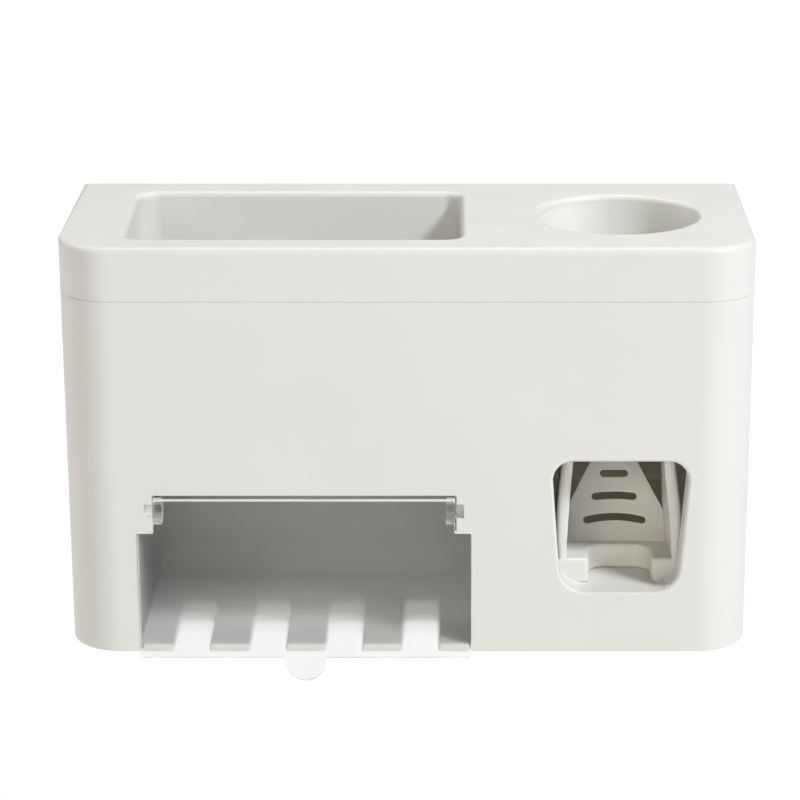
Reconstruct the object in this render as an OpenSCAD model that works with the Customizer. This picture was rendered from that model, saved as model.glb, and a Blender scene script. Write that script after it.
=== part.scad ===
// Wall-mounted toothbrush holder with a toothpaste dispenser.
// X runs along the wall, -Y faces the room, +Z is up.
// The origin is the centre of the adhesive face that sits on the wall.

/* [Body] */
// Width of the body along the wall
body_w = 230; // [228:0.5:234]
// Depth of the body from the front to the wall side
body_d = 95; // [95:0.5:100]
// Height of the body
body_h = 140.3; // [138:0.1:146]
// Radius of the two upright front corners
corner_r = 18; // [15:0.5:18]
// Thickness of the outer walls
wall_t = 2.5; // [2.4:0.1:2.6]
// Height of the seam between the housing and the top tray
seam_z = 122.4; // [120:0.1:123]

/* [Storage and tube well] */
// Depth of the storage compartment below the top
pocket_depth = 73; // [40:1:73]
// Corner radius of the storage compartment
pocket_r = 6; // [4:0.5:8]
// Inner radius of the round tube well
well_r = 27.4; // [26:0.1:29]
// Bore radius of the seal that takes the toothpaste tube's neck
neck_r = 6.2; // [5:0.1:7]

/* [Brush chamber and flip cover] */
// Number of hanging slots in the comb floor
slot_n = 4; // [2:1:4]
// Width of one brush slot
slot_w = 12.1; // [9:0.1:14]
// Length of one brush slot from the front edge
slot_len = 27.2; // [20:0.1:40]
// Thickness of the comb floor
comb_t = 2.6; // [2:0.1:2.7]
// Thickness of the flip cover
cover_t = 1.8; // [1.4:0.1:2]
// Radius of the cover's hinge pins
hinge_r = 2.4; // [2:0.1:2.5]
// Radius of the cover's finger tab
tab_r = 6.95; // [5:0.05:8]

/* [Dispenser] */
// Width of the brush notch in the pusher
notch_w = 21.8; // [16:0.2:22]
// Height of the pusher's brush rest
rest_h = 8.1; // [6:0.1:9]
// Thickness of the pusher's cheeks
cheek_t = 3.2; // [2.6:0.1:3.4]
// Width of the slots in the pusher's tongue
vent_w = 2.3; // [1.8:0.1:2.6]
// Radius of the pusher's pivot pins
pivot_r = 1.5; // [1.2:0.1:1.6]
// Wire diameter of the return spring
spring_wire = 1.0; // [0.8:0.1:1.1]
// Turns of the return spring
spring_turns = 5; // [4:1:6]

/* [Wall fixing] */
// Width of the wall bracket
bracket_w = 130; // [120:1:150]
// Height of the wall bracket
bracket_h = 56; // [50:1:60]
// Thickness of the adhesive pad
pad_t = 1; // [0.6:0.1:1.5]

/* [Hidden] */

$fn = 64;
e = 0.01;
gap = 0.3;

// wall side of the body and the height of the wall bracket's centre
bracket_z = 75;

// left, right and centre lines
cover_xl = -90.6;      // flip cover, lower part
cover_xr = 21.6;
cover_ul = -84.8;      // flip cover, upper part
cover_ur = 15.9;
cover_bot = -1.9;      // bottom edge, just below the housing
cover_shoulder = 43.3;
cover_top = 54.7;
cover_back = -0.25;    // back face, just in front of the wall
hinge_y = 0.9;
hinge_z = 50.15;
pin_xl = -87.6;
pin_xr = 18.6;
slot_pitch = 25.8;
slot_mid = -34.4;
slot_r = 3;            // corners at the inner end of a brush slot

ch_xl = -92.2;         // brush chamber, outer faces
ch_xr = 23.3;
ch_wall = 1.8;
ch_back = 70;
ch_top = 60;

pocket_xl = -93;
pocket_xr = 18;
pocket_yf = 13.7;
pocket_yb = 80.5;
pocket_t = 2;

well_x = 71;
well_y = 48.3;
well_bot = 106;
well_t = 2.2;

bay_x = 71;
bay_bot = 21.25;
bay_top = 67.75;
rest_y = 10;           // front of the brush rest
rest_back = 28;
rest_bot = 21.6;
rest_top = rest_bot + rest_h;
lean = 0.5;            // the tongue leans back this much for each mm up
pivot_y = 8;
pivot_z = 74;
pad_z = 66;            // top of the pusher's pressing pad

deck_z = 94;
deck_t = 2.5;
frame_x = 26;          // half width over the frame's side walls
frame_t = 2.5;

collar_y = 9.6;        // the collar round the opening ends just in front of the brush rest
collar_z = 63;
collar_t = 1.8;
notch_back = 24;
notch_mid = bay_x + 0.6;
notch_r = 6;

// cheeks spread apart downwards: inner face [height, distance from the middle]
cheek_line = [[21.6, 18.2], [30, 17.9], [42, 17.2], [52, 16.35], [62, 15.4], [69.5, 14.7], [82, 13.6]];
function cheek_in(z) = lookup(z, cheek_line);
// outer face: the cheeks are stouter between the brush rest and the pivot
cheek_more = [[30, 0], [42, 0.8], [52, 1.0], [62, 0.9], [69.5, 0]];
function cheek_out(z) = cheek_in(z) + cheek_t + lookup(z, cheek_more);
function tongue_y(z) = 27 + lean * (z - 29.7);

tongue_ang = atan(lean);

// moves a shape drawn from the front bottom of the body into the wall frame
module place() translate([0, -(body_d + pad_t), -bracket_z]) children();

// cylinder along X, Y or Z starting at a point
module rod_x(r, l) rotate([0, 90, 0]) cylinder(r = r, h = l);
module rod_y(r, l) rotate([-90, 0, 0]) cylinder(r = r, h = l);

// extrudes an X-Z outline along Y from y0 to y1
module slab_y(y0, y1) translate([0, y1, 0]) rotate([90, 0, 0]) linear_extrude(y1 - y0) children();
// extrudes a Y-Z outline along X from x0 to x1
module slab_x(x0, x1) translate([x0, 0, 0]) rotate([90, 0, 90]) linear_extrude(x1 - x0) children();

// footprint of the body, moved in by a distance; the back edge lies at yb
module footprint(off, yb) {
    r = corner_r - off;
    h = body_w / 2 - off;
    union() {
        translate([-h, corner_r]) square([2 * h, yb - corner_r]);
        translate([-h + r, off]) square([2 * (h - r), corner_r - off + e]);
        for (s = [-1, 1]) translate([s * (h - r), corner_r]) circle(r = r, $fn = 96);
    }
}

// rectangle with true round corners
module rounded(x0, y0, x1, y1, r) {
    union() {
        translate([x0 + r, y0]) square([x1 - x0 - 2 * r, y1 - y0]);
        translate([x0, y0 + r]) square([x1 - x0, y1 - y0 - 2 * r]);
        for (x = [x0 + r, x1 - r], y = [y0 + r, y1 - r]) translate([x, y]) circle(r = r);
    }
}

// outline of the dispenser's opening in the front wall
module bay_outline() {
    hull() {
        for (s = [-1, 1]) {
            translate([bay_x + s * (22.55 - 6.5), bay_top - 6.5]) circle(r = 6.5, $fn = 48);
            translate([bay_x + s * (20.2 - 9), bay_bot + 9]) circle(r = 9, $fn = 48);
        }
    }
}

// stepped opening behind the flip cover
module cover_outline() {
    translate([-89.6, -2]) square([110.3, 44.4]);
    translate([-85.2, 42]) square([101.5, 13.8]);
}

function boss_z() = [14, 62, 108];
function hook_z() = [48, 68];

// ---------------------------------------------------------------- body shells

module main_housing() color([0.91, 0.915, 0.9]) place() {
    difference() {
        union() {
            difference() {
                linear_extrude(seam_z - 0.15) footprint(0, body_d);
                translate([0, 0, comb_t]) linear_extrude(200) footprint(wall_t, body_d + 5);
            }
            // bearing blocks behind the wall for the cover's hinge pins
            translate([-89.9, wall_t - 0.2, 46.3]) cube([4.7, 3.7, 7.7]);
            translate([16.3, wall_t - 0.2, 46.3]) cube([4.6, 3.7, 7.7]);
            // shelf under the brush rest, with two ribs
            translate([bay_x - 24, wall_t - 0.2, 18.7]) cube([48, 31.5, bay_bot - 18.7]);
            // collar behind the dispenser's opening, open at the top
            intersection() {
                slab_y(wall_t - 0.2, collar_y) offset(r = collar_t) bay_outline();
                translate([bay_x - 40, 0, 0]) cube([80, 20, collar_z]);
            }
            for (x = [-20, 18]) translate([bay_x + x, 0, 0])
                slab_x(0, 2) polygon([[wall_t - 0.2, 19], [30, 19], [wall_t - 0.2, 6]]);
            // bosses for the dispenser frame
            for (x = [41.5, 100.5], z = [70, 91]) translate([x, 2.2, z]) rod_y(3, 3.8);
            // bosses for the brush chamber
            for (x = [-75, -34.5, 6]) translate([x, wall_t - 0.2, 66]) rod_y(3, 3.5);
            // bosses for the back cover, tied to the side walls
            for (s = [-1, 1], z = boss_z()) {
                translate([s * (body_w / 2 - 6.7), body_d - 23, z]) rod_y(4, 16.9);
                translate([s * (body_w / 2 - 4.4) - 2.2, body_d - 23, z - 2]) cube([4.4, 16.9, 4]);
            }
        }
        // front openings
        slab_y(-1, collar_y + 0.02) bay_outline();
        slab_y(-1, wall_t + 0.02) cover_outline();
        // floor cut-out for the comb
        translate([ch_xl - gap, wall_t - e, -1]) cube([ch_xr - ch_xl + 2 * gap, ch_back - wall_t + 2 * gap, comb_t + 2]);
        // open seats for the hinge pins
        for (x = [[-87.9, 2.71], [16.29, 2.61]]) {
            translate([x[0], hinge_y, hinge_z]) rod_x(hinge_r + 0.05, x[1]);
            translate([x[0], -1, hinge_z - hinge_r - 0.05]) cube([x[1], hinge_y + 1, 2 * hinge_r + 0.1]);
        }
        // pilot holes
        for (x = [41.5, 100.5], z = [70, 91]) translate([x, 3.5, z]) rod_y(1.45, 4);
        for (x = [-75, -34.5, 6]) translate([x, 1.7, 66]) rod_y(1.45, 6);
        for (s = [-1, 1], z = boss_z()) translate([s * (body_w / 2 - 6.7), body_d - 18, z]) rod_y(1.45, 20);
    }
}

module top_tray() color([0.92, 0.92, 0.905]) place() {
    z0 = seam_z + 0.15;
    difference() {
        union() {
            // cap: top plate with its band of walls
            difference() {
                translate([0, 0, z0]) linear_extrude(body_h - z0) footprint(0, body_d);
                translate([0, 0, z0 - 1]) linear_extrude(body_h - wall_t - z0 + 1) footprint(wall_t, body_d - wall_t);
            }
            // register lip that drops inside the housing
            difference() {
                union() {
                    translate([0, 0, z0 + 0.4]) linear_extrude(3.5) footprint(wall_t - 0.1, body_d - 9);
                    translate([0, 0, seam_z - 3]) linear_extrude(4) footprint(wall_t + gap, body_d - 9);
                }
                translate([0, 0, seam_z - 4]) linear_extrude(12) footprint(wall_t + 1.5, body_d);
            }
            // walls of the storage compartment
            translate([0, 0, body_h - pocket_depth - 2.2]) linear_extrude(pocket_depth + 1)
                rounded(pocket_xl - pocket_t, pocket_yf - pocket_t, pocket_xr + pocket_t, pocket_yb + pocket_t, pocket_r + pocket_t);
            // tube well
            translate([well_x, well_y, well_bot]) cylinder(r = well_r + well_t, h = body_h - well_bot - 1, $fn = 96);
        }
        translate([0, 0, body_h - pocket_depth]) linear_extrude(pocket_depth + 1)
            rounded(pocket_xl, pocket_yf, pocket_xr, pocket_yb, pocket_r);
        translate([well_x, well_y, well_bot + 8.5]) cylinder(r = well_r, h = body_h, $fn = 96);
        translate([well_x, well_y, well_bot + 2]) cylinder(r = well_r - 1.5, h = 20, $fn = 96);
        translate([well_x, well_y, well_bot - 1]) cylinder(r = 17.5, h = 5);
    }
}

module back_cover() color([0.88, 0.885, 0.87]) place() {
    x = body_w / 2 - wall_t - gap;
    difference() {
        union() {
            translate([-x, body_d - 6, comb_t + gap]) cube([2 * x, 2.5, seam_z - comb_t - 2 * gap - 0.1]);
            // stiffening ribs on the inner face
            for (z = [30, 104]) translate([-95, body_d - 8, z]) cube([190, 2.2, 1.6]);
        }
        // slots that hang on the bracket's hooks
        for (sx = [-45, 45], z = hook_z()) translate([sx - 7.6, body_d - 9, z - 9]) cube([15.2, 6, 13.1]);
        for (s = [-1, 1], z = boss_z()) translate([s * (body_w / 2 - 6.7), body_d - 7, z]) rod_y(1.7, 5);
    }
}

// ---------------------------------------------------------------- brush side

module brush_chamber() color([0.86, 0.87, 0.85]) place() {
    difference() {
        union() {
            // comb floor and its front lip
            translate([ch_xl, wall_t + gap, 0]) cube([ch_xr - ch_xl, ch_back - wall_t - gap, comb_t]);
            translate([-89.3, 0, 0]) cube([109.7, wall_t + gap + e, comb_t]);
            // side, rear and top walls
            for (x = [ch_xl, ch_xr - ch_wall]) translate([x, wall_t + gap, 0]) cube([ch_wall, ch_back - wall_t - gap, ch_top]);
            translate([ch_xl, ch_back - ch_wall, 0]) cube([ch_xr - ch_xl, ch_wall, ch_top]);
            translate([ch_xl, 5.8, ch_top - ch_wall]) cube([ch_xr - ch_xl, ch_back - 5.8, ch_wall]);
            // fixing flange
            translate([-84, 5.8, ch_top - ch_wall]) cube([99, 2, 70 - ch_top + ch_wall]);
        }
        for (i = [0:slot_n - 1]) translate([slot_mid + (i - (slot_n - 1) / 2) * slot_pitch, 0, -1])
            linear_extrude(comb_t + 2) rounded(-slot_w / 2, -10, slot_w / 2, slot_len, slot_r);
        for (x = [-75, -34.5, 6]) translate([x, 5, 66]) rod_y(1.6, 4);
    }
}

module flip_cover() color([0.8, 0.84, 0.82, 0.45]) place() {
    front = cover_back - cover_t;
    intersection() {
        union() {
            slab_y(front, cover_back) {
                rounded(cover_xl, cover_bot, cover_xr, cover_shoulder, 1.2);
                translate([cover_ul, cover_shoulder - 2]) square([cover_ur - cover_ul, cover_top - cover_shoulder + 2]);
                translate([slot_mid - 0.2, cover_bot - 1.25]) circle(r = tab_r);
            }
            // lugs and hinge pins
            for (x = [cover_ul, cover_ur - 3]) translate([x, hinge_y, hinge_z]) rod_x(4.5, 3);
            translate([pin_xl, hinge_y, hinge_z]) rod_x(hinge_r, cover_ul - pin_xl + 1);
            translate([cover_ur - 1, hinge_y, hinge_z]) rod_x(hinge_r, pin_xr - cover_ur + 1);
        }
        translate([-120, front, -40]) cube([200, 40, 120]);
    }
}

// ---------------------------------------------------------------- dispenser

module cheek(s) {
    // one side arm of the pusher, from the brush rest up to its pivot; it opens a little to the front
    z0 = rest_bot + 3;
    zs = concat([z0], [for (q = cheek_line) if (q[0] > z0) q[0]]);
    difference() {
        multmatrix([[1, -s * 0.025, 0, s * 0.025 * rest_y], [0, 1, 0, 0], [0, 0, 1, 0], [0, 0, 0, 1]]) intersection() {
            translate([bay_x, 0, 0]) slab_y(0, 60)
                polygon(concat([for (z = zs) [s * cheek_in(z), z]],
                    [for (i = [len(zs) - 1:-1:0]) [s * cheek_out(zs[i]), zs[i]]]));
            union() {
                slab_x(bay_x - 30, bay_x + 30) polygon([[rest_y, z0], [rest_y, 60], [8.2, 67], [4.1, 74], [11.9, 74.5],
                    [25, 60], [tongue_y(42) + 1, 42], [rest_back, rest_top - 2], [rest_back, z0]]);
                translate([bay_x - 30, pivot_y, pivot_z]) rod_x(4, 60);
            }
        }
        translate([bay_x - 30, pivot_y, pivot_z]) rod_x(pivot_r + 0.05, 60);
    }
}

// arched slot in the tongue, drawn in the tongue's own plane
module vent(len, rise) {
    c = (len - vent_w) / 2;
    if (rise == 0) {
        translate([-c, -vent_w / 2]) square([2 * c, vent_w]);
        for (s = [-1, 1]) translate([s * c, 0]) circle(r = vent_w / 2, $fn = 24);
    } else {
        rr = (c * c + rise * rise) / (2 * rise);
        intersection() {
            translate([0, -rr]) difference() {
                circle(r = rr + rise / 2 + vent_w / 2, $fn = 192);
                circle(r = rr + rise / 2 - vent_w / 2, $fn = 192);
            }
            translate([-c, -10]) square([2 * c, 20]);
        }
        for (s = [-1, 1]) translate([s * c, -rise / 2 - (rise * rise) / (4 * rr)]) circle(r = vent_w / 2, $fn = 24);
    }
}

module pusher() color([0.87, 0.86, 0.83]) place() {
    hyp = sqrt(1 + lean * lean);
    union() {
        // brush rest with its U-shaped notch
        difference() {
            translate([bay_x - 21.2, rest_y, rest_bot]) cube([42.4, rest_back - rest_y, rest_h]);
            translate([notch_mid, 0, rest_bot - 1]) linear_extrude(rest_h + 2) union() {
                translate([-notch_w / 2, rest_y - 1]) square([notch_w, notch_back - notch_r - rest_y + 1]);
                translate([notch_r - notch_w / 2, rest_y]) square([notch_w - 2 * notch_r, notch_back - rest_y]);
                for (s = [-1, 1]) translate([s * (notch_w / 2 - notch_r), notch_back - notch_r]) circle(r = notch_r);
            }
        }
        cheek(-1);
        cheek(1);
        // leaning tongue with three slots
        translate([bay_x, tongue_y(rest_top - 1), rest_top - 1]) rotate([90 - tongue_ang, 0, 0])
            translate([0, 0, -2]) linear_extrude(2) difference() {
                union() {
                    polygon([[-18.4, 0], [18.4, 0], [18.2, (38 - rest_top + 1) * hyp], [17.3, (38.7 - rest_top + 1) * hyp],
                             [8.2, (54.5 - rest_top + 1) * hyp], [6.5, (57.5 - rest_top + 1) * hyp], [6.5, (64.5 - rest_top + 1) * hyp],
                             [-6.5, (64.5 - rest_top + 1) * hyp], [-6.5, (57.5 - rest_top + 1) * hyp], [-8.2, (54.5 - rest_top + 1) * hyp],
                             [-17.3, (38.7 - rest_top + 1) * hyp], [-18.2, (38 - rest_top + 1) * hyp]]);
                }
                translate([0, (50.8 - rest_top + 1) * hyp]) vent(9.7, 0);
                translate([0, (43.8 - rest_top + 1) * hyp]) vent(15.5, 0.42);
                translate([0, (36.8 - rest_top + 1) * hyp]) vent(21.5, 1.17);
            }
        // pad that presses the bulb and carries the spring
        translate([well_x, well_y, pad_z - 2.5]) cylinder(r = 14.5, h = 2.5);
        translate([well_x - 6.5, tongue_y(63.5) - 2, pad_z - 2.5]) cube([13, 10, 2.5]);
    }
}

module dispenser_frame() color([0.36, 0.37, 0.38]) place() {
    difference() {
        union() {
            // deck and side walls
            translate([bay_x - frame_x, 9, deck_z]) cube([2 * frame_x, 60, deck_t]);
            for (s = [-1, 1]) translate([bay_x + s * (frame_x - frame_t / 2) - frame_t / 2, 0, 0])
                slab_x(0, frame_t) polygon([[5, 66], [5, 80], [8.5, deck_z + deck_t], [69, deck_z + deck_t], [69, 86], [40, 66]]);
            // pivot bosses
            translate([bay_x - frame_x + 1, pivot_y, pivot_z]) rod_x(3.9, frame_x - 1 - 18);
            translate([bay_x + 18, pivot_y, pivot_z]) rod_x(3.9, frame_x - 1 - 18);
            // fixing flanges
            for (x = [bay_x - frame_x - 7, bay_x + frame_x - 1]) translate([x, 6.02, 65]) cube([8, 2.5, 31]);
        }
        translate([well_x, well_y, deck_z - 1]) cylinder(r = 15, h = 5);
        translate([bay_x - 40, pivot_y, pivot_z]) rod_x(pivot_r + 0.01, 80);
        for (x = [41.5, 100.5], z = [70, 91]) translate([x, 5, z]) rod_y(1.6, 5);
        for (sx = [-17, 17], sy = [-15, 15]) translate([well_x + sx, well_y + sy, deck_z - 1]) cylinder(r = 1.45, h = 5);
    }
}

module pivot_pins() color([0.75, 0.76, 0.78]) place() {
    for (x = [bay_x - frame_x + 0.2, bay_x + 14.2]) translate([x, pivot_y, pivot_z]) rod_x(pivot_r, frame_x - 14.4);
}

module pump_body() color([0.9, 0.9, 0.88]) place() {
    difference() {
        union() {
            translate([well_x, well_y, 86]) cylinder(r = 14, h = 26);
            translate([0, 0, deck_z + deck_t]) linear_extrude(2.5)
                rounded(well_x - 21, well_y - 19, well_x + 21, well_y + 19, 4);
            translate([well_x, 29, 90]) rod_y(3.9, 10);
        }
        // seat for the neck seal, valve seat and passages
        translate([well_x, well_y, 101]) cylinder(r = 11.5, h = 12);
        translate([well_x, well_y, 98.5]) cylinder(r = 7, h = 3);
        translate([well_x, well_y, 85]) cylinder(r = 4, h = 14);
        translate([well_x, 28, 90]) rod_y(1.6, 20);
        translate([well_x, 28, 90]) rod_y(2.75, 6);
        // seat for the bulb's flange
        translate([well_x, well_y, 85]) cylinder(r = 12.5, h = 2.5);
        for (sx = [-17, 17], sy = [-15, 15]) translate([well_x + sx, well_y + sy, deck_z]) cylinder(r = 1.6, h = 8);
    }
}

// bellows profile: [radius, height] pairs on the outside, then the inside
module pump_bulb() color([0.85, 0.87, 0.86]) place() {
    translate([well_x, well_y, 0]) rotate_extrude($fn = 64) polygon([
        [0, 66.3], [7, 66.3], [9.4, 68], [10.2, 70.5], [8.8, 73], [10.2, 75.5], [8.8, 78], [10.2, 80.5], [9.6, 83], [9.6, 85.9],
        [12.4, 85.9], [12.4, 87.4], [5, 87.4], [8.3, 86],
        [8.3, 83], [8.9, 80.5], [7.5, 78], [8.9, 75.5], [7.5, 73], [8.9, 70.5], [8.2, 68.6], [6.5, 67.6], [0, 67.6]]);
}

module bulb_clamp_ring() color([0.36, 0.37, 0.38]) place() {
    translate([well_x, well_y, 0]) difference() {
        union() {
            translate([0, 0, 83.6]) cylinder(r = 16.4, h = 2.3);
            translate([0, 0, 83.6]) cylinder(r = 16.4, h = 6.4);
        }
        translate([0, 0, 82]) cylinder(r = 10.6, h = 5);
        translate([0, 0, 85.9]) cylinder(r = 14.05, h = 6);
        // gap for the outlet socket
        translate([-4.4, -20, 85.95]) cube([8.8, 12, 6]);
    }
}

module return_spring() color([0.72, 0.73, 0.75]) place() {
    // wire swept along a helix; ring i of the tube is drawn in its own upright plane
    n = 16 * spring_turns;
    r = 12.4;
    z0 = pad_z + 0.1 + spring_wire / 2;
    z1 = 83.5 - spring_wire / 2;
    k = 8;
    pts = [for (i = [0:n], j = [0:k - 1])
        let (a = 360 * i / 16, t = i / n, b = 360 * j / k,
             // closed end turns
             f = t < 1 / spring_turns ? t * 0.35 : t > 1 - 1 / spring_turns ? 1 - (1 - t) * 0.35 :
                 0.35 / spring_turns + (t - 1 / spring_turns) * (1 - 0.7 / spring_turns) / (1 - 2 / spring_turns),
             z = z0 + (z1 - z0) * f,
             q = r + spring_wire / 2 * cos(b))
        [q * cos(a), q * sin(a), z + spring_wire / 2 * sin(b)]];
    faces = concat(
        [[for (j = [0:k - 1]) j]],
        [for (i = [0:n - 1], j = [0:k - 1]) [i * k + j, (i + 1) * k + j, (i + 1) * k + (j + 1) % k]],
        [for (i = [0:n - 1], j = [0:k - 1]) [i * k + j, (i + 1) * k + (j + 1) % k, i * k + (j + 1) % k]],
        [[for (j = [k - 1:-1:0]) n * k + j]]);
    translate([well_x, well_y, 0]) polyhedron(points = pts, faces = faces, convexity = 10);
}

module inlet_valve() color([0.8, 0.45, 0.35]) place() {
    // flap valve: a ring, a thin web and a disc that lifts
    translate([well_x, well_y, 98.55]) difference() {
        union() {
            cylinder(r = 6.9, h = 1);
            cylinder(r = 3.6, h = 1.8);
        }
        difference() {
            translate([0, 0, 0.5]) cylinder(r = 5.6, h = 4);
            translate([0, 0, -1]) cylinder(r = 3.6, h = 6);
        }
        for (a = [0:120:240]) rotate(a + 20) translate([4.6, 0, -1]) cylinder(r = 0.7, h = 5, $fn = 24);
    }
}

module nozzle_elbow() color([0.9, 0.9, 0.88]) place() {
    difference() {
        union() {
            translate([well_x, 20, 66]) cylinder(r = 4.6, h = 27.4);
            translate([well_x, 20, 66]) cylinder(r = 5.4, h = 3);
            translate([well_x, 20, 90]) rod_y(2.7, 13.5);
        }
        translate([well_x, 20, 90]) rod_y(1.6, 20);
        translate([well_x, 20, 76]) cylinder(r = 1.9, h = 14);
        translate([well_x, 20, 65]) cylinder(r = 3.2, h = 11.5);
    }
}

module outlet_valve() color([0.8, 0.45, 0.35]) place() {
    // duckbill: a collar with a body that closes to a slit
    translate([well_x, 20, 0]) difference() {
        union() {
            translate([0, 0, 74]) cylinder(r = 3.15, h = 2.4);
            intersection() {
                translate([0, 0, 67]) cylinder(r = 2.6, h = 8);
                slab_x(-4, 4) polygon([[-0.5, 67], [0.5, 67], [2.6, 73], [2.6, 75], [-2.6, 75], [-2.6, 73]]);
            }
        }
        translate([0, 0, 72.5]) cylinder(r = 1.8, h = 5);
        slab_x(-1.9, 1.9) polygon([[-0.1, 66], [0.1, 66], [0.9, 72.6], [-0.9, 72.6]]);
    }
}

module tube_seal() color([0.72, 0.74, 0.74]) place() {
    // soft ring that grips the tube's neck, with a lead-in
    translate([well_x, well_y, 0]) rotate_extrude($fn = 96) polygon([
        [neck_r, 101.2], [11.4, 101.2], [11.4, 110], [9.6, 110], [neck_r, 106.6]]);
}

module seal_retainer() color([0.9, 0.9, 0.88]) place() {
    translate([well_x, well_y, 0]) difference() {
        union() {
            translate([0, 0, 104]) cylinder(r = 15.8, h = 10, $fn = 96);
            // finger ribs
            for (a = [0:15:345]) rotate(a) translate([15.7, 0, 104]) cylinder(r = 0.6, h = 8.4, $fn = 16);
        }
        translate([0, 0, 103]) cylinder(r = 14.05, h = 9.05, $fn = 96);
        translate([0, 0, 103]) cylinder(r = 9.6, h = 12, $fn = 96);
    }
}

// ---------------------------------------------------------------- fasteners

// pan-head screw pointing along -Z, head resting at z = 0
module screw(len, head_r) {
    difference() {
        union() {
            translate([0, 0, -len]) cylinder(r = 1.4, h = len + 0.2, $fn = 32);
            translate([0, 0, 0.02]) cylinder(r = head_r, h = 1.5, $fn = 48);
        }
        for (a = [0, 90]) rotate(a) translate([-head_r * 0.55, -0.35, 0.8]) cube([head_r * 1.1, 0.7, 2]);
    }
}

module pump_screws() color([0.6, 0.61, 0.63]) place()
    for (sx = [-17, 17], sy = [-15, 15]) translate([well_x + sx, well_y + sy, deck_z + deck_t + 2.5]) screw(5, 2.6);

module frame_screws() color([0.6, 0.61, 0.63]) place()
    for (x = [41.5, 100.5], z = [70, 91]) translate([x, 8.52, z]) rotate([-90, 0, 0]) screw(4.8, 2.6);

module chamber_screws() color([0.6, 0.61, 0.63]) place()
    for (x = [-75, -34.5, 6]) translate([x, 7.8, 66]) rotate([-90, 0, 0]) screw(5.8, 2.6);

module back_cover_screws() color([0.6, 0.61, 0.63]) place()
    for (s = [-1, 1], z = boss_z()) translate([s * (body_w / 2 - 6.7), body_d - 3.5, z]) rotate([-90, 0, 0]) screw(14, 2.8);

// ---------------------------------------------------------------- wall fixing

module wall_bracket() color([0.88, 0.88, 0.87]) place() {
    union() {
        slab_y(body_d - 3, body_d)
            rounded(-bracket_w / 2, bracket_z - bracket_h / 2, bracket_w / 2, bracket_z + bracket_h / 2, 6);
        // upturned hooks
        for (sx = [-45, 45], z = hook_z()) {
            translate([sx - 7, body_d - 9, z]) cube([14, 6.1, 4]);
            translate([sx - 7, body_d - 9, z]) cube([14, 2.5, 12]);
        }
    }
}

module adhesive_pad() color([0.93, 0.93, 0.9]) place()
    slab_y(body_d, body_d + pad_t)
        rounded(-bracket_w / 2 + 3, bracket_z - bracket_h / 2 + 3, bracket_w / 2 - 3, bracket_z + bracket_h / 2 - 3, 5);

main_housing();
top_tray();
back_cover();
brush_chamber();
flip_cover();
dispenser_frame();
pusher();
pivot_pins();
return_spring();
pump_body();
pump_bulb();
bulb_clamp_ring();
inlet_valve();
outlet_valve();
nozzle_elbow();
tube_seal();
seal_retainer();
pump_screws();
frame_screws();
chamber_screws();
back_cover_screws();
wall_bracket();
adhesive_pad();
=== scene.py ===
"""Toothbrush holder with a toothpaste dispenser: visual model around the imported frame."""

import math

import bmesh
import bpy
import numpy as np
from mathutils import Matrix, Vector
from mathutils.geometry import tessellate_polygon


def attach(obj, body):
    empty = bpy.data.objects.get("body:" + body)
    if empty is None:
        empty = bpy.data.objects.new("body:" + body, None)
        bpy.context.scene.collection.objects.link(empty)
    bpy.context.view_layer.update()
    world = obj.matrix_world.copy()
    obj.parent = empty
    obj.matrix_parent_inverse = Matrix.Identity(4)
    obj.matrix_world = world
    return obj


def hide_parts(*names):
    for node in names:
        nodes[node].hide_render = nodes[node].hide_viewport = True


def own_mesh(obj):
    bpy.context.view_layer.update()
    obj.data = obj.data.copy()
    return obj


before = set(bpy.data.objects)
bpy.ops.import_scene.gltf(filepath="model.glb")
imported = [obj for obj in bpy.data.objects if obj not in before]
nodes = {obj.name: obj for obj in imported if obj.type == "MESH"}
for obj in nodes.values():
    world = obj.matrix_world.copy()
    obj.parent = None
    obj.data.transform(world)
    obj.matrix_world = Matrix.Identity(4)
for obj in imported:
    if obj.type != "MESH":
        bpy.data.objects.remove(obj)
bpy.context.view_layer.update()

# Lengths below are in millimetres, drawn from the front bottom of the body:
# X along the wall, Y from the front face to the wall, Z up. This is where that lies in the frame.
PLACE = Matrix.Translation((0, -0.096, -0.075)) @ Matrix.Scale(0.001, 4)


# ------------------------------------------------------------------ outlines and solids

def outline(corners, step=6.0):
    """Closed outline (anticlockwise) through corners (x, y, radius): points and outward normals."""
    pts, nor = [], []
    n = len(corners)
    for i in range(n):
        a = np.array(corners[i - 1][:2], float)
        p = np.array(corners[i][:2], float)
        b = np.array(corners[(i + 1) % n][:2], float)
        r = corners[i][2]
        u = (p - a) / np.linalg.norm(p - a)
        v = (b - p) / np.linalg.norm(b - p)
        turn = math.atan2(u[0] * v[1] - u[1] * v[0], float(u @ v))
        sign = 1.0 if turn > 0 else -1.0
        start = p - u * r * math.tan(abs(turn) / 2)
        n0 = np.array([u[1], -u[0]])
        c = start - n0 * r * sign
        k = max(2, int(math.ceil(abs(math.degrees(turn)) / step)) + 1)
        for j in range(k):
            f = turn * j / (k - 1)
            m = np.array([n0[0] * math.cos(f) - n0[1] * math.sin(f), n0[0] * math.sin(f) + n0[1] * math.cos(f)])
            pts.append(c + m * r * sign)
            nor.append(m)
    return np.array(pts), np.array(nor)


def circle(x, y, r, n=64):
    t = np.linspace(0, 2 * math.pi, n, endpoint=False)
    nor = np.stack([np.cos(t), np.sin(t)], 1)
    return np.array([x, y]) + nor * r, nor


def rect(x0, y0, x1, y1, r=0.4, step=22.5):
    return outline([(x0, y0, r), (x1, y0, r), (x1, y1, r), (x0, y1, r)], step)


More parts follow.
